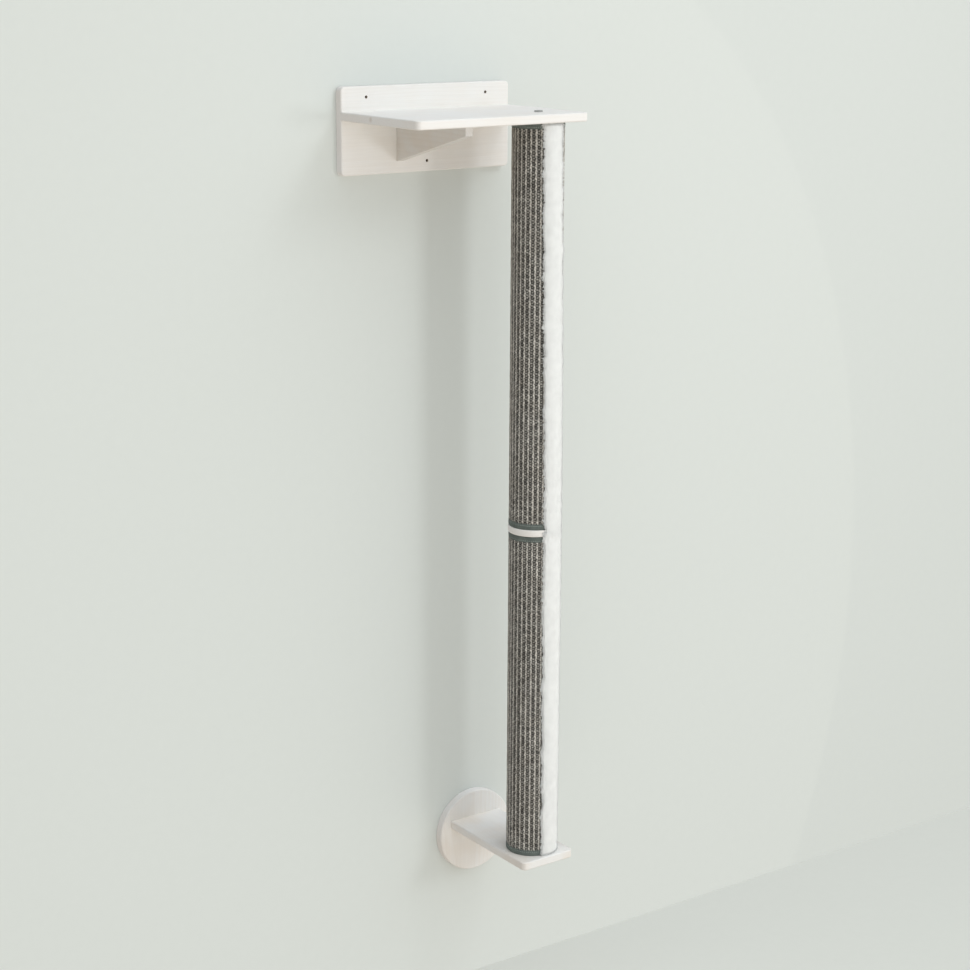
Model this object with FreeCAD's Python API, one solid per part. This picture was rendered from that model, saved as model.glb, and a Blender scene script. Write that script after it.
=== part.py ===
import FreeCAD, Part
import math
import os

# Lengths are in millimetres and angles in degrees.
# +X is right, +Y runs into the wall and +Z is up.
# The origin is the middle of the wall plate's back face.

# Boards
board_thickness = 15.0
edge_bevel = 1.5

# Wall plate
plate_width = 345.0
plate_height = 148.0
plate_corner_radius = 8.0
wall_hole_diameter = 5.0
wall_hole_end_margin = 50.0
wall_hole_edge_margin = 18.0

# Shelf, as wide as the wall plate and flush with its ends
shelf_width = plate_width
shelf_depth = 230.0
shelf_drop = 41.0
shelf_corner_radius = 9.0

# Tapered bracket glued under the shelf
bracket_inset = 110.0
bracket_front_gap = 25.0
bracket_bottom_margin = 20.0
bracket_front_height = 16.0
bracket_edge_bevel = 0.5

# Posts, set by their axis from the shelf's right end and front edge
post_side_margin = 65.0
post_front_margin = 55.0
post_diameter = 90.0
upper_post_length = 700.0
lower_post_length = 600.0
tube_wall = 4.0
glue_line = 0.2

# Sisal carpet and its bound edges
cover_thickness = 5.0
wale_pitch = 4.5
wale_depth = 0.8
hem_height = 10.0
hem_thickness = 1.2
seam_gap = 2.0
soft_clearance = 0.3

# Plush strips over the seams, turned from the post's front towards its right
plush_crown = 6.0
plush_edge = 1.6
plush_end_crown = 3.0
plush_end_length = 12.0
plush_end_inset = 2.0
upper_plush_width = 45.0
upper_plush_turn = 8.0
lower_plush_width = 50.0
lower_plush_turn = 18.0

# End plugs, threaded inserts, bolts and the stud between the posts
plug_length = 25.0
plug_clearance = 0.3
thread_diameter = 8.0
thread_clearance = 0.15
thread_engagement = 16.0
insert_wall = 2.0
insert_length = 18.0
insert_clearance = 0.1
bolt_head_diameter = 14.0
bolt_head_height = 2.6
bolt_hole_clearance = 0.3
socket_across_flats = 5.0
socket_depth = 1.8

# Disc between the posts
disc_thickness = 12.0
disc_overhang = 1.0

# Countersunk wood screws from the wall side
screw_diameter = 4.0
screw_length = 45.0
screw_head_diameter = 8.0
screw_head_height = 2.4
screw_clearance = 0.1
shelf_screw_count = 3
shelf_screw_end_margin = 40.0
bracket_screw_count = 2
bracket_screw_end_margin = 18.0
arm_screw_count = 2
arm_screw_end_margin = 20.0

# Lower arm and round wall plate
arm_width = 112.0
arm_front_margin = 10.0
arm_corner_radius = 9.0
arm_top_above_centre = 30.0
round_plate_diameter = 158.0
round_hole_spacing = 50.0
round_hole_drop = 16.0

# Levels and places worked out from the sizes above
plate_left = -plate_width / 2
plate_right = plate_width / 2
plate_top = plate_height / 2
plate_front = -board_thickness
shelf_top = plate_top - shelf_drop
shelf_bottom = shelf_top - board_thickness
shelf_right = plate_left + shelf_width
shelf_front = plate_front - shelf_depth
bracket_left = plate_left + bracket_inset
bracket_foot = plate_top - plate_height + bracket_bottom_margin
bracket_front = shelf_front + bracket_front_gap
post_x = shelf_right - post_side_margin
post_y = shelf_front + post_front_margin
post_radius = post_diameter / 2
upper_post_foot = shelf_bottom - upper_post_length
lower_post_head = upper_post_foot - disc_thickness
lower_post_foot = lower_post_head - lower_post_length
cover_inner_radius = post_radius - cover_thickness
tube_radius = cover_inner_radius - glue_line
tube_inner_radius = tube_radius - tube_wall
thread_radius = thread_diameter / 2
insert_bore_radius = thread_radius + thread_clearance
insert_radius = insert_bore_radius + insert_wall
arm_top = lower_post_foot
arm_bottom = arm_top - board_thickness
arm_front = post_y - post_radius - arm_front_margin
round_plate_z = arm_top - arm_top_above_centre
round_hole_z = arm_bottom - round_hole_drop

ORIGIN = FreeCAD.Vector(0, 0, 0)
UP = FreeCAD.Vector(0, 0, 1)
INTO_ROOM = FreeCAD.Vector(0, -1, 0)


def vector(x, y, z):
    return FreeCAD.Vector(x, y, z)


def polar(radius, turn, z):
    """Point on a circle about the post axis, at a turn from the front towards the right."""
    angle = math.radians(turn)
    return vector(radius * math.sin(angle), -radius * math.cos(angle), z)


def prism(points, sweep):
    """Closed outline of points pushed along a vector."""
    return Part.Face(Part.makePolygon(points + points[:1])).extrude(sweep)


def sleeve(inner_radius, outer_radius, foot, length):
    """Round tube about the Z axis."""
    low = vector(0, 0, foot)
    return Part.makeCylinder(outer_radius, length, low).cut(Part.makeCylinder(inner_radius, length, low))


def on_post(shape, z, faces_up=True):
    """A piece made about the Z axis, set at height z on the post axis, facing up or down."""
    placed = shape.copy()
    if not faces_up:
        placed.rotate(ORIGIN, vector(1, 0, 0), 180)
    placed.translate(vector(post_x, post_y, z))
    return placed


def cut_all(shape, tools):
    for tool in tools:
        shape = shape.cut(tool)
    return shape


def lies_at(edge, axis, value):
    """Whether an edge lies in the plane where one coordinate has this value."""
    return all(abs(getattr(v, axis) - value) < glue_line for v in edge.Vertexes)


def bevel(shape, edges, width=edge_bevel):
    return shape.makeChamfer(min(width, board_thickness / 3), edges)


def spread(low, high, count):
    """Evenly spaced places from low to high, both included."""
    return [low + (high - low) * i / (count - 1) for i in range(count)]


def wood_screw(x, z, room=0.0):
    """Screw with its head flush with the wall side; room widens it into its hole."""
    wide = screw_head_diameter / 2 + room
    thin = screw_diameter / 2 + room
    head = Part.makeCone(wide, thin, screw_head_height, vector(x, 0, z), INTO_ROOM)
    shank = Part.makeCylinder(thin, screw_length + room, vector(x, 0, z), INTO_ROOM)
    return head.fuse(shank).removeSplitter()


def shelf_screw_places():
    z = shelf_bottom + board_thickness / 2
    low = plate_left + shelf_screw_end_margin
    high = min(shelf_right, plate_right) - shelf_screw_end_margin
    return [(x, z) for x in spread(low, high, shelf_screw_count)]


def bracket_screw_places():
    x = bracket_left + board_thickness / 2
    low = bracket_foot + bracket_screw_end_margin
    high = shelf_bottom - bracket_screw_end_margin
    return [(x, z) for z in spread(low, high, bracket_screw_count)]


def arm_screw_places():
    z = arm_bottom + board_thickness / 2
    reach = arm_width / 2 - arm_screw_end_margin
    return [(x, z) for x in spread(post_x - reach, post_x + reach, arm_screw_count)]


def screw_group(places):
    return Part.makeCompound([wood_screw(x, z) for x, z in places])


def screw_holes(places):
    return [wood_screw(x, z, screw_clearance) for x, z in places]


def wall_holes(places):
    """Through holes for the screws that hold a plate to the wall."""
    return [Part.makeCylinder(wall_hole_diameter / 2, board_thickness, vector(x, 0, z), INTO_ROOM)
            for x, z in places]


def wall_plate():
    low_corner = vector(plate_left, plate_front, -plate_top)
    blank = Part.makeBox(plate_width, board_thickness, plate_height, low_corner)
    corners = [e for e in blank.Edges if not (lies_at(e, "Y", 0) or lies_at(e, "Y", plate_front))]
    blank = blank.makeFillet(plate_corner_radius, corners)
    blank = bevel(blank, [e for e in blank.Edges if lies_at(e, "Y", plate_front)])
    high = plate_top - wall_hole_edge_margin
    side = plate_right - wall_hole_end_margin
    holes = wall_holes([(-side, high), (side, high), (0, -high)])
    return cut_all(blank, holes + screw_holes(shelf_screw_places() + bracket_screw_places()))


def bolt_hole(foot):
    return on_post(Part.makeCylinder(thread_radius + bolt_hole_clearance, board_thickness), foot)


def front_board(left, right, front, foot, corner_radius):
    """Board that stands out from a wall plate, with round front corners and bevelled free edges."""
    blank = Part.makeBox(right - left, plate_front - front, board_thickness, vector(left, front, foot))
    ends = [e for e in blank.Edges if lies_at(e, "Y", front)]
    corners = [e for e in ends if lies_at(e, "X", left) or lies_at(e, "X", right)]
    blank = blank.makeFillet(corner_radius, corners)
    top = foot + board_thickness
    rim = [e for e in blank.Edges if lies_at(e, "Z", foot) or lies_at(e, "Z", top)]
    return bevel(blank, [e for e in rim if not lies_at(e, "Y", plate_front)])


def shelf():
    blank = front_board(plate_left, shelf_right, shelf_front, shelf_bottom, shelf_corner_radius)
    return cut_all(blank, [bolt_hole(shelf_bottom)] + screw_holes(shelf_screw_places()))


def shelf_bracket():
    """Gusset whose lower edge rises from the wall plate to its low front end."""
    front_foot = shelf_bottom - bracket_front_height
    side = [(plate_front, shelf_bottom), (bracket_front, shelf_bottom),
            (bracket_front, front_foot), (plate_front, bracket_foot)]
    blank = prism([vector(bracket_left, y, z) for y, z in side], vector(board_thickness, 0, 0))
    free = [e for e in blank.Edges if not (lies_at(e, "Y", plate_front) or lies_at(e, "Z", shelf_bottom))]
    free = [e for e in free if not lies_at(e, "Z", front_foot)]
    blank = bevel(blank, free, bracket_edge_bevel)
    return cut_all(blank, screw_holes(bracket_screw_places()))


def lower_arm():
    half = arm_width / 2
    blank = front_board(post_x - half, post_x + half, arm_front, arm_bottom, arm_corner_radius)
    return cut_all(blank, [bolt_hole(arm_bottom)] + screw_holes(arm_screw_places()))


def round_wall_plate():
    centre = vector(post_x, 0, round_plate_z)
    blank = Part.makeCylinder(round_plate_diameter / 2, board_thickness, centre, INTO_ROOM)
    blank = bevel(blank, [e for e in blank.Edges if lies_at(e, "Y", plate_front)])
    reach = round_hole_spacing / 2
    holes = wall_holes([(post_x - reach, round_hole_z), (post_x + reach, round_hole_z)])
    return cut_all(blank, holes + screw_holes(arm_screw_places()))


def joint_disc():
    disc = sleeve(thread_radius + bolt_hole_clearance, post_radius + disc_overhang, 0, disc_thickness)
    return on_post(disc, lower_post_head)


def joint_stud():
    length = disc_thickness + 2 * thread_engagement
    return on_post(Part.makeCylinder(thread_radius, length), lower_post_head - thread_engagement)


def flat_head_bolt():
    """Bolt under a low flat head with a hexagon socket; the head's seat is at z = 0."""
    reach = board_thickness + thread_engagement
    shank = Part.makeCylinder(thread_radius, reach, vector(0, 0, -reach))
    head = Part.makeCylinder(bolt_head_diameter / 2, bolt_head_height)
    corner = socket_across_flats / math.sqrt(3)
    floor = bolt_head_height - socket_depth
    socket = prism([polar(corner, turn, floor) for turn in range(0, 360, 60)], UP * socket_depth)
    return head.fuse(shank).cut(socket)


def end_plug():
    """Plug bored for the insert; its outer face is at z = 0."""
    bore = insert_radius + insert_clearance
    return sleeve(bore, tube_inner_radius - plug_clearance, -plug_length, plug_length)


def threaded_insert():
    """Sleeve flush with the plug's outer face at z = 0."""
    return sleeve(insert_bore_radius, insert_radius, -insert_length, insert_length)


def seam(turn, foot, length):
    """Radial slot where the carpet's two edges meet."""
    slot = Part.makeBox(seam_gap, post_diameter, length, vector(-seam_gap / 2, -post_diameter, foot))
    slot.rotate(ORIGIN, UP, turn)
    return slot


def ribbed_bar(foot, length):
    """Bar whose outside is a ring of upright wales: a crest and a groove for each, an even number."""
    count = 2 * round(math.pi * post_diameter / wale_pitch / 2)
    radii = (post_radius, post_radius - wale_depth)
    outline = [polar(radii[i % 2], 180 * i / count, foot) for i in range(2 * count)]
    return prism(outline, UP * length)


def sisal_cover(foot, length, turn):
    """Carpet sleeve: ribbed between the hems, pressed flat under them, open at its seam."""
    pressed_radius = post_radius - hem_thickness - soft_clearance
    pressed = Part.makeCylinder(pressed_radius, length - 2 * soft_clearance, vector(0, 0, soft_clearance))
    ribs_foot = hem_height + 2 * soft_clearance
    carpet = pressed.fuse(ribbed_bar(ribs_foot, length - 2 * ribs_foot))
    carpet = carpet.cut(Part.makeCylinder(cover_inner_radius, length))
    return on_post(carpet.cut(seam(turn, 0, length)), foot)


def hem(turn):
    """Binding round the carpet's end; its end face is just below z = 0."""
    foot = -hem_height - soft_clearance
    band = sleeve(post_radius - hem_thickness, post_radius, foot, hem_height)
    return band.cut(seam(turn, foot, hem_height))


def plush_section(z, turn, width, crown):
    """Crowned outline on the post: an inner arc, two short sides and an arc over the crown."""
    inner = post_radius + soft_clearance
    half = math.degrees(width / 2 / inner)
    left, right = turn - half, turn + half
    start, end = polar(inner + plush_edge, left, z), polar(inner + plush_edge, right, z)
    under_start, under_end = polar(inner, left, z), polar(inner, right, z)
    over = Part.Arc(start, polar(inner + crown, turn, z), end).toShape()
    under = Part.Arc(under_end, polar(inner, turn, z), under_start).toShape()
    return Part.Wire([Part.makeLine(under_start, start), over, Part.makeLine(end, under_end), under])


def plush_strip(foot, length, width, turn):
    """Strip lofted from its foot to its head, narrower and lower at both ends."""
    low = soft_clearance
    high = length - soft_clearance
    end_width = width - 2 * plush_end_inset
    sections = [
        plush_section(low, turn, end_width, plush_end_crown),
        plush_section(low + plush_end_length, turn, width, plush_crown),
        plush_section(high - plush_end_length, turn, width, plush_crown),
        plush_section(high, turn, end_width, plush_end_crown),
    ]
    return on_post(Part.makeLoft(sections, True, True), foot)


def both_ends(head_piece, foot_piece, head, foot):
    """The like pieces at a post's head and foot, as one group."""
    return Part.makeCompound([on_post(head_piece, head), on_post(foot_piece, foot, faces_up=False)])


def post_pieces(name, foot, length, plush_width, turn):
    """One post from foot to head, its seam and plush strip at the given turn."""
    head = foot + length
    return {
        name + "_tube": on_post(sleeve(tube_inner_radius, tube_radius, 0, length), foot),
        name + "_end_plugs": both_ends(end_plug(), end_plug(), head, foot),
        name + "_inserts": both_ends(threaded_insert(), threaded_insert(), head, foot),
        name + "_sisal_cover": sisal_cover(foot, length, turn),
        name + "_hems": both_ends(hem(turn), hem(180 - turn), head, foot),
        name + "_plush_strip": plush_strip(foot, length, plush_width, turn),
    }


def all_pieces():
    pieces = {
        "wall_plate": wall_plate(),
        "shelf": shelf(),
        "shelf_bracket": shelf_bracket(),
        "shelf_rear_screws": screw_group(shelf_screw_places()),
        "bracket_rear_screws": screw_group(bracket_screw_places()),
        "shelf_bolt": on_post(flat_head_bolt(), shelf_top),
        "joint_disc": joint_disc(),
        "joint_stud": joint_stud(),
        "lower_arm": lower_arm(),
        "arm_bolt": on_post(flat_head_bolt(), arm_bottom, faces_up=False),
        "round_wall_plate": round_wall_plate(),
        "arm_rear_screws": screw_group(arm_screw_places()),
    }
    pieces.update(post_pieces("upper", upper_post_foot, upper_post_length,
                              upper_plush_width, upper_plush_turn))
    pieces.update(post_pieces("lower", lower_post_foot, lower_post_length,
                              lower_plush_width, lower_plush_turn))
    return pieces


os.makedirs("parts", exist_ok=True)
for node, piece in all_pieces().items():
    piece.exportStep("parts/" + node + ".step")
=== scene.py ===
import math

import bpy
import numpy as np
from mathutils import Euler, Matrix, Vector


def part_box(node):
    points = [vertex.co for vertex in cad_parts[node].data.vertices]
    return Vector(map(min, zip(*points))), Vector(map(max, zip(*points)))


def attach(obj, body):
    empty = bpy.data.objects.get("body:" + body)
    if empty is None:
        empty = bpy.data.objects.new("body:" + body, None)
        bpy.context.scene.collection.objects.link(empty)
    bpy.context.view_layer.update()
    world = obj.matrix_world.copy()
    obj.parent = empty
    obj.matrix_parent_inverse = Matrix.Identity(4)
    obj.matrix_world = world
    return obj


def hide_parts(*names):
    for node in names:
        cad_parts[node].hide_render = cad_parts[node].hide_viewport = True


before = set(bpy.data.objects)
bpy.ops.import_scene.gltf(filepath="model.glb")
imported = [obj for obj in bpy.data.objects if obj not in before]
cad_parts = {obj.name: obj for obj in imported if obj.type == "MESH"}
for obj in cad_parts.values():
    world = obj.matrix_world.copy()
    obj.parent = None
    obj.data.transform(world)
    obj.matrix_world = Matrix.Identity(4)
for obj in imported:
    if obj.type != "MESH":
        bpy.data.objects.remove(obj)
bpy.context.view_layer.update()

# Lengths are in metres. Turns go round the post, from its front (-Y) towards its right (+X).

# Places read from the frame
disc_low, disc_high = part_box("joint_disc")
axis_x = (disc_low.x + disc_high.x) / 2
axis_y = (disc_low.y + disc_high.y) / 2
disc_radius = (disc_high.x - disc_low.x) / 2
cover_low, cover_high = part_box("upper_sisal_cover")
post_radius = (cover_high.x - cover_low.x) / 2

# Sisal carpet: upright wales of plaited loops, light and dark by turns
wales_round = 62
wale_turn = 2 * math.pi / wales_round
first_wale_edge = 1.5
loop_height = 0.0045
points_per_wale = 4
points_per_loop = 5
light_rise = 0.0016
dark_rise = 0.0016
loop_lean = 0.08
loop_slant = 0.26
light_half_width = 0.45
dark_half_width = 0.58
light_half_height = 0.50
dark_half_height = 0.36
carpet_inner_radius = post_radius - 0.005
carpet_tuck = 0.001
inner_arc_points = 4
carpet_unevenness = 0.0002

# Binding tape over the carpet's ends
tape_height = 0.0102
tape_rise = 0.0012
tape_groove = 0.0005
tape_groove_share = 0.07
tape_outline_points = 26
tape_columns = 200
tape_unevenness = 0.00025
stitch_place = 0.70
stitch_pitch = 0.0036
stitch_length = 0.0029
thread_radius = 0.00045
thread_dive = 0.0006
thread_rings = 5
thread_sides = 6

# Plush strips: a crowned band of short pile, tufts along its rim and finer ones all over
plush_gap = 0.0004
plush_lap = 0.0087
plush_clearance = 0.0004
pile_height = 0.0054
pile_row = 0.0011
pile_top_points = 40
pile_under_points = 5
clump_rise = 0.00022
corner_radius = 0.006
joint_radius = 0.0008
corner_inset = 0.0035
edge_stray = 0.0019
rim_tuft_spacing = 0.00045
rim_tuft_length = 0.0044
rim_tuft_radius = 0.0007
fine_tuft_area = 4.5e-6
fine_tuft_length = 0.0022
fine_tuft_radius = 0.00042
pile_spread = 0.25

# Disc between the posts
disc_edge_radius = 0.0016
disc_bore_radius = 0.0043
disc_land = 0.0006
disc_columns = 160

# Room
wall_gap = 0.0008
floor_level = -1.627
room_reach = 9.0
background_strength = 0.88

# Camera fitted to the photograph: angles in degrees, picture sizes in pixels
camera_place = (-2.0152, -3.0145, 0.2897)
camera_tilt = 14.323
camera_turn = 34.907
picture_roll = 0.13
picture_width = 970
focal_length = 2082.2
lens_middle = 463.3


# Small tools


def add(tree, kind, inputs=None, **settings):
    """New shader node; inputs maps a socket to a constant or to another node's output."""
    made = tree.nodes.new(kind)
    for key, value in settings.items():
        setattr(made, key, value)
    for key, value in (inputs or {}).items():
        if isinstance(value, bpy.types.NodeSocket):
            tree.links.new(value, made.inputs[key])
        else:
            made.inputs[key].default_value = value
    return made


def work(tree, operation, a, b=0.0, c=0.0):
    """Output of a Math node."""
    return add(tree, "ShaderNodeMath", {0: a, 1: b, 2: c}, operation=operation).outputs[0]


def remap(tree, value, low, high, to_low, to_high):
    """Value carried from one range to another, held at both ends."""
    numbers = {"Value": value, "From Min": low, "From Max": high, "To Min": to_low, "To Max": to_high}
    return add(tree, "ShaderNodeMapRange", numbers).outputs["Result"]


def blend(tree, share, first, second):
    """Colour between two colours."""
    made = add(tree, "ShaderNodeMix", {0: share, 6: first, 7: second}, data_type="RGBA")
    return made.outputs[2]


def shade(tree, colour, strength):
    """Colour times a number."""
    return add(tree, "ShaderNodeVectorMath", {0: colour, "Scale": strength}, operation="SCALE").outputs[0]


def noise(tree, place, scale, detail=2.0, roughness=0.5):
    """Output of a Noise Texture node, about 0 to 1."""
    inputs = {"Vector": place, "Scale": scale, "Detail": detail, "Roughness": roughness}
    return add(tree, "ShaderNodeTexNoise", inputs).outputs[0]


def stretched(tree, place, scale, turn=(0.0, 0.0, 0.0), offset=(0.0, 0.0, 0.0)):
    """Place scaled, turned and moved by a Mapping node."""
    inputs = {"Vector": place, "Location": offset, "Rotation": turn, "Scale": scale}
    return add(tree, "ShaderNodeMapping", inputs).outputs[0]


def object_place(tree):
    return add(tree, "ShaderNodeTexCoord").outputs["Object"]


def tone(red, green, blue):
    """Colour written as screen values from 0 to 255, as the linear colour that a shader takes."""
    screen = np.array([red, green, blue]) / 255
    linear = np.where(screen <= 0.04045, screen / 12.92, ((screen + 0.055) / 1.055) ** 2.4)
    return (*linear.tolist(), 1.0)


def start_material(name, roughness=0.8):
    """New material with its node tree and its main shader."""
    material = bpy.data.materials.new(name)
    material.use_nodes = True
    tree = material.node_tree
    shader = tree.nodes["Principled BSDF"]
    shader.inputs["Roughness"].default_value = roughness
    return material, tree, shader


def bumped(tree, shader, height, strength, distance, normal=None):
    """Gives a shader a bump by height, on top of a normal if one is given."""
    inputs = {"Height": height, "Strength": strength, "Distance": distance}
    if normal is not None:
        inputs["Normal"] = normal
    made = add(tree, "ShaderNodeBump", inputs)
    tree.links.new(made.outputs[0], shader.inputs["Normal"])


# Finishes


def glazed_pine(name, grain, pith, knot=None, warmth_and_bounce=0.5, figure=0.08, painted_shade_factor=1.0):
    """White-glazed pine: growth rings about a pith line beside the board, drawn out along the grain,
    with fine fibre streaks, a patchy warm glaze, softened edges and, if asked for, one faint knot. A high
    warmth also paints warm bounce light into the glaze, and a shade factor below 1 darkens the whole colour
    as painted shade."""
    material, tree, shader = start_material(name)
    place = object_place(tree)
    along = [1.0 if axis == grain else 0.0 for axis in "XYZ"]
    ring_scale = [0.035 if a else 1.0 for a in along]
    streak_scale = [14.0 if a else 620.0 for a in along]
    drift = noise(tree, stretched(tree, place, [2.2 if a else 11.0 for a in along]), 1.0, 2.0)
    off_pith = stretched(tree, place, ring_scale, offset=pith)
    reach = add(tree, "ShaderNodeVectorMath", {0: off_pith}, operation="LENGTH").outputs["Value"]
    rings = work(tree, "FRACT", work(tree, "MULTIPLY_ADD", reach, 210.0, work(tree, "MULTIPLY", drift, 3.4)))
    late_wood = remap(tree, rings, 0.35, 0.95, 0.0, 1.0)
    streaks = noise(tree, stretched(tree, place, streak_scale), 1.0, 4.0, 0.6)
    patches = noise(tree, place, 13.0, 3.0)
    # Warm glaze patches. A high warmth here also paints in warm bounce light.
    warm_glaze_and_bounce = work(tree, "MULTIPLY", remap(tree, patches, 0.35, 0.7, 0.0, 1.0), warmth_and_bounce)
    glaze = blend(tree, warm_glaze_and_bounce, tone(240, 239, 236), tone(238, 232, 224))
    grained = blend(tree, work(tree, "MULTIPLY", late_wood, figure), glaze, tone(226, 217, 205))
    # Painted shade: the last factor scales the whole colour down for boards that sit in shade.
    colour = shade(tree, grained, remap(tree, streaks, 0.3, 0.7, 0.97 * painted_shade_factor, 1.015 * painted_shade_factor))
    if knot is not None:
        centre, radius = knot
        gap = add(tree, "ShaderNodeVectorMath", {0: place, 1: centre}, operation="DISTANCE").outputs["Value"]
        waver = work(tree, "MULTIPLY_ADD", streaks, radius * 0.6, gap)
        share = remap(tree, waver, radius * 0.5, radius * 1.7, 0.38, 0.0)
        colour = blend(tree, share, colour, tone(176, 160, 140))
    tree.links.new(colour, shader.inputs["Base Color"])
    tree.links.new(remap(tree, streaks, 0.25, 0.75, 0.46, 0.62), shader.inputs["Roughness"])
    soft_edge = add(tree, "ShaderNodeBevel", {"Radius": 0.0016}, samples=6).outputs[0]
    bumped(tree, shader, work(tree, "MULTIPLY_ADD", late_wood, figure, streaks), 0.15, 0.0003, soft_edge)
    return material


def drilled_wood_painted_shade():
    """Bare wood inside a drilled hole, rough with torn fibres, and darker still with painted shade."""
    material, tree, shader = start_material("drilled_wood_painted_shade", 0.9)
    fibres = noise(tree, stretched(tree, object_place(tree), (300.0, 900.0, 900.0)), 1.0, 3.0)
    colour = blend(tree, fibres, tone(150, 138, 124), tone(190, 176, 158))
    tree.links.new(colour, shader.inputs["Base Color"])
    bumped(tree, shader, fibres, 0.4, 0.0003)
    return material


def bare_wood(name):
    """Unpainted turned wood with faint rings about the post axis."""
    material, tree, shader = start_material(name, 0.75)
    place = stretched(tree, object_place(tree), (1.0, 1.0, 0.05), offset=(-axis_x, -axis_y, 0.0))
    reach = add(tree, "ShaderNodeVectorMath", {0: place}, operation="LENGTH").outputs["Value"]
    rings = work(tree, "FRACT", work(tree, "MULTIPLY_ADD", reach, 320.0, noise(tree, place, 40.0)))
    colour = blend(tree, rings, tone(214, 186, 146), tone(190, 156, 112))
    tree.links.new(colour, shader.inputs["Base Color"])
    bumped(tree, shader, rings, 0.2, 0.0003)
    return material


def wound_cardboard():
    """Brown board tube: fibres with the slanting joins of its wound plies."""
    material, tree, shader = start_material("wound_cardboard", 0.9)
    place = object_place(tree)
    fibres = noise(tree, stretched(tree, place, (400.0, 400.0, 120.0)), 1.0, 4.0)
    plies = add(tree, "ShaderNodeTexWave", {"Vector": place, "Scale": 9.0}, bands_direction="Z").outputs[1]
    colour = shade(tree, blend(tree, fibres, tone(168, 136, 100), tone(142, 112, 80)),
                   remap(tree, plies, 0.0, 0.1, 0.8, 1.0))
    tree.links.new(colour, shader.inputs["Base Color"])
    bumped(tree, shader, fibres, 0.3, 0.0003)
    return material


def plain_steel(name, low, high, roughness):
    """Grey metal with a fine uneven sheen."""
    material, tree, shader = start_material(name)
    shader.inputs["Metallic"].default_value = 1.0
    place = object_place(tree)
    cloud = noise(tree, place, 260.0, 4.0)
    scratches = noise(tree, stretched(tree, place, (3000.0, 260.0, 3000.0)), 1.0, 3.0)
    tree.links.new(blend(tree, cloud, low, high), shader.inputs["Base Color"])
    shine = work(tree, "MULTIPLY_ADD", scratches, 0.22, roughness)
    tree.links.new(shine, shader.inputs["Roughness"])
    bevel = add(tree, "ShaderNodeBevel", {"Radius": 0.0005}, samples=6).outputs[0]
    bumped(tree, shader, scratches, 0.12, 0.0001, bevel)
    return material


def sisal_yarn():
    """Ribbed sisal: light and dark wales by turns, each loop of its own brightness, with fibre streaks
    along the loops and painted shade darkening the gaps between them, where the relief is low."""
    material, tree, shader = start_material("sisal_yarn", 0.92)
    weave = add(tree, "ShaderNodeUVMap", uv_map="weave").outputs[0]
    parts = add(tree, "ShaderNodeSeparateXYZ", {0: weave}).outputs
    wale = work(tree, "FLOOR", work(tree, "ADD", parts[0], 0.5))
    light = work(tree, "MODULO", wale, 2.0)
    loop = work(tree, "FLOOR", work(tree, "MULTIPLY_ADD", light, 0.5, parts[1]))
    cell = add(tree, "ShaderNodeCombineXYZ", {0: wale, 1: loop}).outputs[0]
    chance = add(tree, "ShaderNodeTexWhiteNoise", {0: cell}, noise_dimensions="2D").outputs["Value"]
    fibres = noise(tree, stretched(tree, weave, (16.0, 4.0, 1.0), turn=(0.0, 0.0, 0.5)), 1.0, 3.0, 0.6)
    clouds = noise(tree, object_place(tree), 38.0, 3.0)
    patch = remap(tree, clouds, 0.4, 0.7, 0.0, 1.0)
    light_yarn = blend(tree, patch, tone(208, 204, 196), tone(192, 187, 178))
    dark_yarn = blend(tree, patch, tone(156, 154, 146), tone(143, 139, 130))
    relief = add(tree, "ShaderNodeAttribute", attribute_name="relief").outputs["Fac"]
    unshaded_height = work(tree, "MULTIPLY_ADD", light, -0.35, 0.8)
    dullest = work(tree, "MULTIPLY_ADD", light, 0.22, 0.44)
    brightest = work(tree, "MULTIPLY_ADD", light, -0.2, 1.34)
    strength = work(tree, "MULTIPLY", remap(tree, chance, 0.0, 1.0, dullest, brightest),
                    remap(tree, fibres, 0.3, 0.7, 0.7, 1.18))
    # Painted shade: the colour darkens where the loop relief is low, in the gaps between the loops.
    strength = work(tree, "MULTIPLY", strength, remap(tree, relief, 0.12, unshaded_height, 0.14, 1.0))
    colour = shade(tree, blend(tree, light, dark_yarn, light_yarn), strength)
    tree.links.new(colour, shader.inputs["Base Color"])
    bumped(tree, shader, fibres, 0.5, 0.0005)
    return material


def binding_tape():
    """Grey-green woven tape: fine slanting twill lines, a little fuzz and worn paler spots."""
    material, tree, shader = start_material("binding_tape", 0.85)
    weave = add(tree, "ShaderNodeUVMap", uv_map="weave").outputs[0]
    twill = add(tree, "ShaderNodeTexWave", {"Vector": weave, "Scale": 0.55, "Distortion": 0.6,
                "Detail Scale": 2.0}, bands_direction="DIAGONAL").outputs[1]
    fuzz = noise(tree, object_place(tree), 900.0, 3.0)
    worn = noise(tree, object_place(tree), 60.0, 3.0)
    base = blend(tree, remap(tree, worn, 0.35, 0.7, 0.0, 1.0), tone(93, 102, 97), tone(112, 121, 115))
    strength = work(tree, "MULTIPLY", remap(tree, twill, 0.0, 1.0, 0.78, 1.1),
                    remap(tree, fuzz, 0.3, 0.7, 0.85, 1.12))
    tree.links.new(shade(tree, base, strength), shader.inputs["Base Color"])
    bumped(tree, shader, work(tree, "MULTIPLY_ADD", fuzz, 0.5, twill), 0.5, 0.0003)
    return material


def sewing_thread():
    """Pale grey thread with a fine twist."""
    material, tree, shader = start_material("sewing_thread", 0.7)
    twist = noise(tree, object_place(tree), 4200.0, 2.0)
    tree.links.new(blend(tree, twist, tone(132, 140, 136), tone(178, 184, 180)), shader.inputs["Base Color"])
    bumped(tree, shader, twist, 0.4, 0.0001)
    return material


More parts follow.
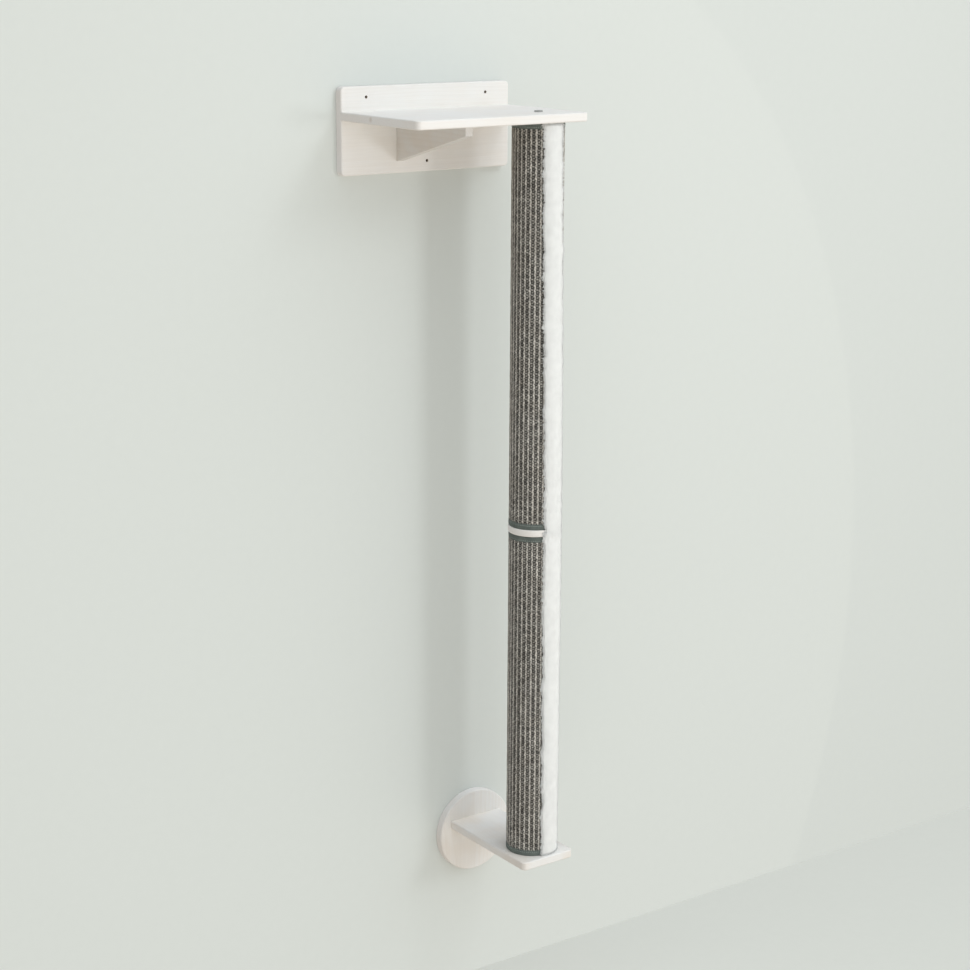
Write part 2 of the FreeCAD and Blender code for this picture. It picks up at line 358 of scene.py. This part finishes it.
def white_plush():
    """White pile: soft sheen, fine fibre grain and slightly greyer hollows."""
    material, tree, shader = start_material("white_plush", 0.95)
    shader.inputs["Sheen Weight"].default_value = 0.35
    shader.inputs["Sheen Roughness"].default_value = 0.6
    place = object_place(tree)
    clouds = noise(tree, place, 70.0, 3.0)
    fibres = noise(tree, place, 2600.0, 2.0)
    colour = blend(tree, remap(tree, clouds, 0.3, 0.7, 0.0, 1.0), tone(239, 241, 239), tone(232, 234, 232))
    pile = shade(tree, colour, remap(tree, fibres, 0.3, 0.7, 0.96, 1.01))
    tree.links.new(pile, shader.inputs["Base Color"])
    bumped(tree, shader, fibres, 0.25, 0.0003)
    return material


# Surfaces


def turned(radius, turn, height):
    """Points at a radius and a turn round the post axis, at a height."""
    radius, turn, height = np.broadcast_arrays(radius, turn, height)
    return np.stack([axis_x + radius * np.sin(turn), axis_y - radius * np.cos(turn), height], -1)


def ripple(a, b, seed, waves=7):
    """Smooth irregular height between about -1 and 1 over two coordinates: the mean of sine waves,
    each with a seeded direction, rate and phase."""
    chance = np.random.default_rng(seed)
    way, start = chance.uniform(0, 2 * math.pi, (2, waves))
    rate = chance.uniform(0.6, 1.9, waves)
    a, b = np.broadcast_arrays(a, b)
    swing = rate * (a[..., None] * np.cos(way) + b[..., None] * np.sin(way)) + start
    return np.sin(swing).mean(-1) * 1.8


def grid(rows, columns, rows_close=False, columns_close=False):
    """Quads of a grid of points numbered row by row, and each corner's column and row number. A
    direction that closes joins its last line to its first."""
    row, column = np.meshgrid(np.arange(rows - (not rows_close)), np.arange(columns - (not columns_close)),
                              indexing="ij")
    row = row.reshape(-1, 1) + np.array([0, 0, 1, 1])
    column = column.reshape(-1, 1) + np.array([0, 1, 1, 0])
    return row % rows * columns + column % columns, np.stack([column, row], -1)


def make_piece(name, points, faces, material, stands_for=(), weave=None, relief=None,
               facing=None):
    """Mesh object from points and arrays of faces, one array for each number of corners. weave gives a
    pair for every corner in the same order, relief a number and facing a shading direction for every
    point."""
    mesh = bpy.data.meshes.new(name)
    points = np.asarray(points, np.float32).reshape(-1, 3)
    corners = np.concatenate([f.ravel() for f in faces]).astype(np.int32)
    sizes = np.concatenate([np.full(len(f), f.shape[1]) for f in faces])
    mesh.vertices.add(len(points))
    mesh.vertices.foreach_set("co", points.ravel())
    mesh.loops.add(len(corners))
    mesh.loops.foreach_set("vertex_index", corners)
    mesh.polygons.add(len(sizes))
    mesh.polygons.foreach_set("loop_start", (np.cumsum(sizes) - sizes).astype(np.int32))
    mesh.polygons.foreach_set("use_smooth", np.ones(len(sizes), bool))
    if weave is not None:
        mesh.uv_layers.new(name="weave").data.foreach_set("uv", np.asarray(weave, np.float32).ravel())
    if relief is not None:
        height = mesh.attributes.new("relief", "FLOAT", "POINT")
        height.data.foreach_set("value", np.asarray(relief, np.float32).ravel())
    mesh.materials.append(material)
    mesh.update(calc_edges=True)
    mesh.validate()
    if facing is not None:
        mesh.normals_split_custom_set_from_vertices(facing.tolist())
    piece = bpy.data.objects.new(name, mesh)
    bpy.context.scene.collection.objects.link(piece)
    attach(piece, "root")
    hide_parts(*stands_for)
    return piece


def chain_relief(across_wales, up_loops, sizes):
    """Height from 0 to 1 of plaited wales. Each loop is a slanting egg-shaped lobe that leans to one
    side of its wale and the next loop to the other; a point takes the highest lobe over it. The loops of
    a light wale are tall and run together, and those of a dark one are wide, low rungs half a loop lower.
    sizes gives each loop its own fullness."""
    wale = np.floor(across_wales + 0.5)
    across = across_wales - wale
    raised = up_loops + 0.5 * (wale % 2)
    half_width = np.where(wale % 2 == 1, light_half_width, dark_half_width)
    half_height = np.where(wale % 2 == 1, light_half_height, dark_half_height)
    highest = np.zeros(np.broadcast(across, raised).shape)
    for step in (-1, 0, 1):
        loop = np.floor(raised) + step
        side = 1 - 2 * (loop % 2)
        up = raised - loop - 0.5
        off = across - side * (loop_lean + loop_slant * up)
        full = sizes[wale.astype(int) % sizes.shape[0], loop.astype(int) % sizes.shape[1]]
        lobe = 1 - (off / (half_width * full)) ** 2 - (up / half_height) ** 2
        highest = np.maximum(highest, lobe)
    return np.sqrt(highest)


def carpet_half(name, node, half, material, seed):
    """Half of a post's ribbed carpet: wales round half a turn and loops up the height set the radius of
    the outer face, a plain arc is the inner face, and both ends are closed."""
    low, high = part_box(node)
    foot = low.z + tape_height - carpet_tuck
    head = high.z - tape_height + carpet_tuck
    wales = wales_round // 2
    across = first_wale_edge + half * wales + np.arange(wales * points_per_wale + 1) / points_per_wale
    rows = round((head - foot) / loop_height * points_per_loop) + 1
    up = np.arange(rows)[:, None] / points_per_loop
    height = foot + (head - foot) * np.linspace(0, 1, rows)[:, None]
    sizes = np.random.default_rng(seed).uniform(0.84, 1.12, (wales_round, rows))
    relief = chain_relief(across[None, :], up, sizes)
    end_fade = np.clip(np.minimum(height - foot, head - height) / (2.5 * carpet_tuck), 0, 1)
    rise = np.where(np.floor(across + 0.5) % 2 == 1, light_rise, dark_rise)
    uneven = carpet_unevenness * ripple(across[None, :] * 0.9, up * 0.7, seed)
    base = post_radius - light_rise + uneven
    outer = turned(base + rise * relief * end_fade, across * wale_turn, height)
    under = np.linspace(across[-1], across[0], inner_arc_points)
    inner = turned(carpet_inner_radius, under * wale_turn, height)
    points = np.concatenate([outer, inner], 1)
    columns = points.shape[1]
    quads, corner = grid(rows, columns, columns_close=True)
    ends = np.arange(columns)
    caps = np.stack([ends[::-1], ends + (rows - 1) * columns])
    wale_at = np.concatenate([across, under, across[:1]])
    weave = np.stack([wale_at[corner[..., 0]], corner[..., 1] / points_per_loop], -1).reshape(-1, 2)
    weave = np.concatenate([weave, np.zeros((2 * columns, 2))])
    heights = np.concatenate([relief, np.zeros(inner.shape[:2])], 1)
    return make_piece(name, points, [quads, caps], material, [node], weave, heights)


def tape_profile(end, towards_carpet):
    """Closed outline of a binding tape, upwards along its outer face: round shoulders, and a shallow
    groove where it is sewn. Returns radius and height."""
    x = np.linspace(0, 1, tape_outline_points)
    shoulder = (1 - np.abs(2 * x - 1) ** 5) ** 0.6
    groove = np.exp(-(((x - stitch_place) / tape_groove_share) ** 2))
    radius = post_radius - tape_rise + tape_rise * shoulder - tape_groove * groove
    height = end + towards_carpet * tape_height * x
    radius = np.concatenate([radius, np.full(2, carpet_inner_radius)])
    height = np.concatenate([height, height[[-1, 0]]])
    return (radius, height) if towards_carpet > 0 else (radius[::-1], height[::-1])


def tape_ring(name, node, material, seed):
    """The two binding tapes of a post: each is its outline carried round the post axis, a little uneven."""
    low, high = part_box(node)
    turn = np.arange(tape_columns) * 2 * math.pi / tape_columns
    points, quads, weave = [], [], []
    for number, (end, way) in enumerate(((low.z, 1), (high.z, -1))):
        radius, height = tape_profile(end, way)
        waver = ripple(np.cos(turn) * 9, np.sin(turn) * 9, seed + number)
        outside = radius > carpet_inner_radius
        swell = tape_unevenness * waver[None, :] * outside[:, None]
        points.append(turned(radius[:, None] + swell, turn[None, :], height[:, None]).reshape(-1, 3))
        faces, corner = grid(len(radius), tape_columns, True, True)
        quads.append(faces + number * len(points[0]))
        weave.append(corner.reshape(-1, 2) * np.array([1.4, 0.4]))
    return make_piece(name, np.concatenate(points), [np.concatenate(quads)], material, [node],
                      np.concatenate(weave))


def stitch_rows(name, node, material):
    """Row of stitches round each tape: short threads along the groove that dive in at both ends."""
    low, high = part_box(node)
    count = round(2 * math.pi * post_radius / stitch_pitch)
    rings, sides = thread_rings, thread_sides
    along = np.linspace(-0.5, 0.5, rings)
    round_thread = np.arange(sides) * 2 * math.pi / sides
    places = np.arange(count) * 2 * math.pi / count
    levels = np.array([low.z + tape_height * stitch_place, high.z - tape_height * stitch_place])
    level, place, step, side = np.meshgrid(levels, places, along, round_thread, indexing="ij")
    thin = thread_radius * np.sqrt(1 - 0.75 * (2 * step) ** 2)
    sunk = post_radius - tape_groove + 0.0001 - thread_dive * (2 * step) ** 4
    radius = sunk + thin * np.cos(side)
    turn = place + step * stitch_length / post_radius
    points = turned(radius, turn, level + thin * np.sin(side))
    quads, _ = grid(rings, sides, columns_close=True)
    starts = (np.arange(2 * count) * rings * sides)[:, None, None]
    ends = np.stack([np.arange(sides)[::-1], np.arange(sides) + (rings - 1) * sides])
    threads = (quads[None, :, ::-1] + starts).reshape(-1, 4)
    tips = (ends[None, :, ::-1] + starts).reshape(-1, sides)
    return make_piece(name, points, [threads, tips], material)


def locks(roots, aims, lengths, radii, seed):
    """Tapered tufts: a triangle at the root, a wider one half way and a tip that strays sideways."""
    chance = np.random.default_rng(seed)
    count = len(roots)
    side = np.cross(aims, chance.normal(size=(count, 3)))
    side /= np.linalg.norm(side, axis=1, keepdims=True)
    third = np.cross(aims, side)
    turn = np.arange(3) * 2 * math.pi / 3
    spoke = side[:, None] * np.cos(turn)[:, None] + third[:, None] * np.sin(turn)[:, None]
    middle = roots + aims * lengths[:, None] * 0.55
    tip = roots + aims * lengths[:, None] + side * lengths[:, None] * 0.28
    low = roots[:, None] + spoke * radii[:, None, None] * 0.8
    high = middle[:, None] + spoke * radii[:, None, None]
    points = np.concatenate([low, high, tip[:, None]], 1)
    k = np.arange(3)
    after = (k + 1) % 3
    sides = np.stack([k, after, after + 3, k + 3], 1)
    points_in = np.stack([k + 3, after + 3, np.full(3, 6)], 1)
    root = k[None, ::-1]
    start = (np.arange(count) * 7)[:, None, None]
    triangles = np.concatenate([points_in, root])
    return points.reshape(-1, 3), (sides + start).reshape(-1, 4), (triangles + start).reshape(-1, 3)


def leaning(turn, sideways, upwards):
    """Unit directions out from the post axis at a turn, leaning sideways and upwards by the shares given."""
    turn, sideways, upwards = np.broadcast_arrays(turn, sideways, upwards)
    right = np.sin(turn) + sideways * np.cos(turn)
    back = sideways * np.sin(turn) - np.cos(turn)
    way = np.stack([right, back, upwards], -1)
    return way / np.linalg.norm(way, axis=-1, keepdims=True)


def edge_wander(height, seed):
    """Sideways wander of a plush edge: slow, quicker and fine waves along its height."""
    slow = ripple(height * 130, 0.0, seed + 2)
    quick = ripple(height * 420, 0.0, seed)
    fine = ripple(height * 1300, 0.0, seed)
    return edge_stray * (slow + 0.6 * quick + 0.5 * fine)


def plush_form(strip, share, across):
    """Radius under a plush band, its thickness, turn and height, at a share of its height and a place
    from -1 to 1 across it. The edges run from the turns given at its foot to those at its head, wander
    sideways and close in at the corners. The thickness is a rounded crown with low clumps, and past the
    post's end the band lies on the disc's rim."""
    left_foot, left_head = np.radians(strip["left"])
    right_foot, right_head = np.radians(strip["right"])
    seed = strip["seed"]
    height = strip["foot"] + (strip["head"] - strip["foot"]) * share
    to_foot = np.clip((height - strip["foot"]) / strip["foot_round"], 0, 1)
    to_head = np.clip((strip["head"] - height) / strip["head_round"], 0, 1)
    corner = np.sqrt(1 - (1 - np.minimum(to_foot, to_head)) ** 2)
    inset = corner_inset * (1 - corner)
    start = left_foot + (left_head - left_foot) * share
    start = start + (edge_wander(height, seed) + inset) / post_radius
    end = right_foot + (right_head - right_foot) * share
    end = end + (edge_wander(height, seed + 1) - inset) / post_radius
    turn = (start + end) / 2 + (end - start) / 2 * across
    past = np.clip(np.maximum(strip["low"] - height, height - strip["high"]) / 0.001 + 1, 0, 1)
    under = post_radius + (disc_radius + plush_clearance - post_radius) * past
    arc = turn * post_radius
    clumps = ripple(arc * 1200, height * 1200, seed + 5) + 0.6 * ripple(arc * 2600, height * 2600, seed + 6)
    crown = (1 - np.abs(across) ** 2.2) ** 0.5 * (0.12 + 0.88 * corner)
    swell = pile_height * (1 + 0.1 * ripple(height * 210, across * 1.3, seed + 4)) + clump_rise * clumps
    return under, np.maximum(crown * swell + post_radius - under, 0.15 * crown * swell), turn, height


def plush_pad(strip):
    """Closed pad of a plush band: its crown over the top and its underside, carried up the post. Returns
    points, faces and the soft shading directions of the pile."""
    rows = round((strip["head"] - strip["foot"]) / pile_row) + 1
    share = np.linspace(0, 1, rows)[:, None]
    over = np.sin(np.linspace(-math.pi / 2, math.pi / 2, pile_top_points))
    beneath = np.linspace(1, -1, pile_under_points + 2)[1:-1]
    across = np.concatenate([over, beneath])[None, :]
    under, thick, turn, height = plush_form(strip, share, across)
    thick[:, pile_top_points:] = 0
    facing = leaning(turn, pile_spread * across, 0.0)
    facing[:, pile_top_points:] *= -1
    columns = turn.shape[1]
    quads, _ = grid(rows, columns, columns_close=True)
    ends = np.arange(columns)
    caps = np.stack([ends[::-1], ends + (rows - 1) * columns])
    return turned(under + thick, turn, height).reshape(-1, 3), [quads, caps], facing.reshape(-1, 3)


def plush_tufts(strip):
    """Tufts of a plush band: long ones that lean out along both edges and over its free end, and fine
    ones all over. Returns points, faces and shading directions."""
    chance = np.random.default_rng(strip["seed"] + 9)
    reach = strip["head"] - strip["foot"]
    breadth = math.radians(strip["right"][0] - strip["left"][0]) * post_radius
    edge = round(2 * reach / rim_tuft_spacing)
    brim = round(3 * breadth / rim_tuft_spacing)
    face = round(reach * breadth / fine_tuft_area)
    side = chance.choice([-1.0, 1.0], edge)
    near_end = 0.5 + strip["free_end"] * chance.uniform(0.4925, 0.4995, brim)
    share = np.concatenate([chance.uniform(0, 1, edge), near_end, chance.uniform(0.002, 0.998, face)])
    across = np.concatenate([side * chance.uniform(0.84, 0.995, edge),
                             chance.uniform(-0.95, 0.95, brim + face)])
    lean = np.concatenate([side * chance.uniform(0.5, 1.6, edge), np.zeros(brim + face)])
    over_end = np.full(brim, 1.5 * strip["free_end"])
    rise = np.concatenate([np.full(edge, -0.25), over_end, np.full(face, -0.2)])
    lengths = np.concatenate([rim_tuft_length * chance.uniform(0.45, 1.0, edge) ** 1.5,
                              rim_tuft_length * chance.uniform(0.5, 1.0, brim),
                              fine_tuft_length * chance.uniform(0.7, 1.2, face)])
    radii = np.concatenate([np.full(edge + brim, rim_tuft_radius), np.full(face, fine_tuft_radius)])
    radii *= chance.uniform(0.7, 1.2, len(radii))
    under, thick, turn, height = plush_form(strip, share, across)
    aims = leaning(turn, lean, rise) + chance.normal(0, 0.2, (len(turn), 3))
    aims /= np.linalg.norm(aims, axis=1, keepdims=True)
    roots = turned(under + 0.75 * thick, turn, height)
    points, sides, tips = locks(roots, aims, lengths, radii, strip["seed"] + 11)
    facing = leaning(turn, pile_spread * across, 0.15 * rise)
    return points, [sides, tips], np.repeat(facing, 7, axis=0)


def plush_strip(name, node, left, right, overrun, material, seed):
    """White plush over a carpet seam; overrun lengthens its foot and its head."""
    low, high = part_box(node)
    foot_round, head_round = [joint_radius if more > 0 else corner_radius for more in overrun]
    strip = {"low": low.z, "high": high.z, "foot": low.z - overrun[0], "head": high.z + overrun[1],
             "foot_round": foot_round, "head_round": head_round, "left": left, "right": right,
             "free_end": math.copysign(1.0, overrun[0]), "seed": seed}
    pad, pad_faces, pad_facing = plush_pad(strip)
    tufts, tuft_faces, tuft_facing = plush_tufts(strip)
    faces = pad_faces + [some + len(pad) for some in tuft_faces]
    piece = make_piece(name, np.concatenate([pad, tufts]), faces, material, [node],
                       facing=np.concatenate([pad_facing, tuft_facing]))
    return piece


def turned_disc(material):
    """Wooden disc: a rounded outline with a bore, carried round the post axis."""
    quarter = np.linspace(0, math.pi / 2, 6)
    rim = disc_radius - disc_edge_radius
    top, low = disc_high.z - disc_edge_radius, disc_low.z + disc_edge_radius
    flat = rim - disc_land
    radius = np.concatenate([[disc_bore_radius, flat], rim + disc_edge_radius * np.sin(quarter),
                             rim + disc_edge_radius * np.cos(quarter), [flat, disc_bore_radius]])
    height = np.concatenate([[disc_low.z] * 2, low - disc_edge_radius * np.cos(quarter),
                             top + disc_edge_radius * np.sin(quarter), [disc_high.z] * 2])
    turn = np.arange(disc_columns) * 2 * math.pi / disc_columns
    points = turned(radius[:, None], turn[None, :], height[:, None])
    quads, _ = grid(len(radius), disc_columns, True, True)
    return make_piece("joint_disc_turned", points, [quads], material, ["joint_disc"])


# Dressing the solids that stay


def dress(node, material):
    """Gives a solid of the frame its finish."""
    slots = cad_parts[node].data.materials
    slots.clear()
    slots.append(material)


def paint_hole_shade(node, material, hole_radius=0.0027):
    """Gives the walls of a plate's through holes their own finish, bare wood darkened with painted shade:
    faces that run into the wall and whose corners all lie on a small circle, away from the plate's rim."""
    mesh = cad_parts[node].data
    mesh.materials.append(material)
    normals = np.zeros(len(mesh.polygons) * 3, np.float32)
    centres = np.zeros(len(mesh.polygons) * 3, np.float32)
    mesh.polygons.foreach_get("normal", normals)
    mesh.polygons.foreach_get("center", centres)
    normals, centres = normals.reshape(-1, 3), centres.reshape(-1, 3)
    low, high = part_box(node)
    middle, half = (np.array(low) + np.array(high)) / 2, (np.array(high) - np.array(low)) / 2
    wall_side = np.abs(normals[:, 1]) < 0.5
    if node == "round_wall_plate":
        inside = np.hypot(*(centres - middle)[:, [0, 2]].T) < half[0] - 2 * hole_radius
    else:
        inside = (np.abs(centres - middle) < half - 2 * hole_radius)[:, [0, 2]].all(1)
    mesh.polygons.foreach_set("material_index", (wall_side & inside).astype(np.int32))


# Room, light and camera


def room_paint(name, colour, one_sided=False):
    """Matt paint with a faint roller grain; one-sided paint lets the eye through from behind."""
    material, tree, shader = start_material(name, 0.95)
    shader.inputs["Specular IOR Level"].default_value = 0.1
    grain = noise(tree, object_place(tree), 60.0, 3.0)
    duller = [channel * 0.99 for channel in colour]
    paint = blend(tree, remap(tree, grain, 0.3, 0.7, 0.0, 1.0), colour, duller)
    tree.links.new(paint, shader.inputs["Base Color"])
    if one_sided:
        clear = add(tree, "ShaderNodeBsdfTransparent").outputs[0]
        behind = add(tree, "ShaderNodeNewGeometry").outputs["Backfacing"]
        seen = add(tree, "ShaderNodeMixShader", {0: behind, 1: shader.outputs[0], 2: clear}).outputs[0]
        tree.links.new(seen, tree.nodes["Material Output"].inputs["Surface"])
    return material


def room_plane(name, corners, material):
    """One flat face of the room, which isn't part of the object."""
    mesh = bpy.data.meshes.new(name)
    mesh.from_pydata(corners, [], [(0, 1, 2, 3)])
    mesh.materials.append(material)
    plane = bpy.data.objects.new(name, mesh)
    bpy.context.scene.collection.objects.link(plane)
    return plane


def build_room():
    """Pale floor and pale wall; neither colours the object with light that bounces off it."""
    reach, low = room_reach, floor_level
    floor_corners = [(-reach, -reach, low), (reach, -reach, low), (reach, reach, low), (-reach, reach, low)]
    wall_corners = [(-reach, wall_gap, low), (reach, wall_gap, low), (reach, wall_gap, reach),
                    (-reach, wall_gap, reach)]
    floor = room_plane("floor", floor_corners, room_paint("pale_floor", tone(224, 225, 217)))
    wall = room_plane("wall", wall_corners, room_paint("pale_wall", tone(218, 223, 219), True))
    floor.visible_diffuse = False
    wall.visible_diffuse = False
    wall.visible_glossy = False
    wall.visible_transmission = False
    wall.visible_shadow = False


def soft_lamp(name, turn, rise, distance, size, brightness, aim):
    """Square soft lamp: turn to the right of the wall's square-on direction, rise above the horizon;
    brightness is the light it gives on a surface that faces it, where 1 shows white as white."""
    turn, rise = math.radians(turn), math.radians(rise)
    way = np.array([math.sin(turn) * math.cos(rise), -math.cos(turn) * math.cos(rise), math.sin(rise)])
    data = bpy.data.lights.new(name, "AREA")
    data.size = size
    data.color = tone(250, 252, 255)[:3]
    data.energy = brightness * math.pi ** 2 * distance ** 2
    lamp = bpy.data.objects.new(name, data)
    lamp.location = np.array(aim) + way * distance
    turn_to = Vector((-way).tolist()).to_track_quat("-Z", "Y")
    lamp.rotation_mode = "QUATERNION"
    lamp.rotation_quaternion = turn_to
    bpy.context.scene.collection.objects.link(lamp)


def light_room():
    """Three soft lamps, and air that is brightest above and to the right, with a glow from below the
    front and from the wall; seen straight or mirrored, the air is one plain pale tone."""
    soft_lamp("window_light", 21, 31, 2.6, 0.6, 0.1, (0.0, 0.0, 0.1))
    soft_lamp("side_light", 16.5, 2, 3.4, 0.5, 0.105, (0.1, 0.0, -0.1))
    soft_lamp("front_light", -10, -7, 2.8, 1.0, 0.03, (0.1, 0.0, -0.35))
    world = bpy.data.worlds.new("room_air")
    bpy.context.scene.world = world
    world.use_nodes = True
    tree = world.node_tree
    air = tree.nodes["Background"]
    way = add(tree, "ShaderNodeTexCoord").outputs["Generated"]
    right, back, up = add(tree, "ShaderNodeSeparateXYZ", {0: way}).outputs
    from_right = remap(tree, right, -0.8, 0.6, 0.66, 1.2)
    from_front = remap(tree, back, -0.95, 0.0, 1.0, 0.4)
    above = work(tree, "MULTIPLY", remap(tree, up, 0.0, 1.0, 0.34, 1.8), from_right)
    below = work(tree, "MULTIPLY", remap(tree, up, -0.4, 0.1, 0.91, 0.0), from_front)
    front = work(tree, "ADD", above, below)
    from_wall = remap(tree, back, -0.1, 0.1, 0.0, 1.0)
    wall_glow = remap(tree, up, -0.4, 0.3, 0.66, 0.42)
    sky = add(tree, "ShaderNodeMix", {0: from_wall, 2: front, 3: wall_glow}, data_type="FLOAT").outputs[0]
    tint = blend(tree, remap(tree, up, -0.3, 0.3, 0.0, 1.0), tone(255, 247, 236), tone(249, 253, 255))
    tree.links.new(tint, air.inputs["Color"])
    ray = add(tree, "ShaderNodeLightPath").outputs
    mirrored = work(tree, "MAXIMUM", ray["Is Glossy Ray"], ray["Is Transmission Ray"])
    straight = work(tree, "MAXIMUM", ray["Is Camera Ray"], mirrored)
    shares = {0: straight, 2: sky, 3: background_strength}
    seen = add(tree, "ShaderNodeMix", shares, data_type="FLOAT").outputs[0]
    tree.links.new(seen, air.inputs["Strength"])


def photo_camera():
    """Camera fitted to the photograph: its place, the turn to the right, the tilt down, the focal length
    and the sideways shift of the cropped picture."""
    data = bpy.data.cameras.new("camera")
    data.sensor_width = 36.0
    data.lens = data.sensor_width * focal_length / picture_width
    data.shift_x = (picture_width / 2 - lens_middle) / picture_width
    data.clip_end = 100.0
    camera = bpy.data.objects.new("camera", data)
    camera.location = camera_place
    aim = Euler((math.radians(90 - camera_tilt), 0.0, math.radians(-camera_turn))).to_matrix()
    camera.rotation_mode = "QUATERNION"
    camera.rotation_quaternion = (aim @ Matrix.Rotation(math.radians(picture_roll), 3, "Z")).to_quaternion()
    bpy.context.scene.collection.objects.link(camera)
    bpy.context.scene.camera = camera


# Boards, hardware and inner pieces

dress("wall_plate", glazed_pine("glazed_pine_plate", "X", (0.0, 0.085, 0.02)))
shelf_left_end = (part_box("shelf")[0].x, -0.107, 0.0262)
dress("shelf", glazed_pine("glazed_pine_shelf", "X", (0.0, 0.12, 0.09), knot=(shelf_left_end, 0.0045)))
# The bracket, arm and round plate are shaded copies of the glazed pine. Their lower shade factor is painted
# shade, and their raised warmth is painted warm bounce light.
dress("shelf_bracket", glazed_pine("glazed_pine_bracket", "Y", (0.13, 0.0, 0.06), warmth_and_bounce=1.6, figure=0.2,
                                   painted_shade_factor=0.85))
dress("lower_arm", glazed_pine("glazed_pine_arm", "Y", (-0.12, 0.0, 1.22), warmth_and_bounce=1.6, painted_shade_factor=0.95))
dress("round_wall_plate", glazed_pine("glazed_pine_round", "Z", (-0.08, 0.09, 0.0), warmth_and_bounce=1.0, figure=0.2,
                                       painted_shade_factor=0.95))
# Hole walls: bare wood, darkened further as painted shade.
hole_wood_shaded = drilled_wood_painted_shade()
paint_hole_shade("wall_plate", hole_wood_shaded)
paint_hole_shade("round_wall_plate", hole_wood_shaded)
bolt_steel = plain_steel("bolt_steel", tone(150, 152, 150), tone(180, 181, 179), 0.34)
zinc_steel = plain_steel("zinc_steel", tone(168, 170, 172), tone(196, 197, 197), 0.28)
for node in ("shelf_bolt", "arm_bolt"):
    dress(node, bolt_steel)
for node in ("joint_stud", "shelf_rear_screws", "bracket_rear_screws", "arm_rear_screws"):
    dress(node, zinc_steel)
tube_board = wound_cardboard()
plug_wood = bare_wood("plug_wood")
for post in ("upper", "lower"):
    dress(post + "_tube", tube_board)
    dress(post + "_end_plugs", plug_wood)
    dress(post + "_inserts", zinc_steel)

# Posts

turned_disc(glazed_pine("glazed_pine_disc", "X", (0.0, 0.15, 0.63), warmth_and_bounce=0.8))
yarn = sisal_yarn()
tape = binding_tape()
thread = sewing_thread()
plush = white_plush()
plush_edges = {"upper": ((-14.5, -26.0), (53.0, 23.0), (plush_lap, -plush_gap)),
               "lower": ((-12.0, -17.0), (55.0, 55.0), (-plush_gap, plush_lap))}
for number, (post, (left, right, overrun)) in enumerate(plush_edges.items()):
    cover = post + "_sisal_cover"
    carpet_half(post + "_carpet_right", cover, 0, yarn, 20 + number)
    carpet_half(post + "_carpet_left", cover, 1, yarn, 30 + number)
    tape_ring(post + "_binding", post + "_hems", tape, 40 + number)
    stitch_rows(post + "_stitches", post + "_hems", thread)
    plush_strip(post + "_plush", post + "_plush_strip", left, right, overrun, plush, 60 + 20 * number)

build_room()
light_room()
photo_camera()
bpy.context.scene.view_settings.view_transform = "Standard"
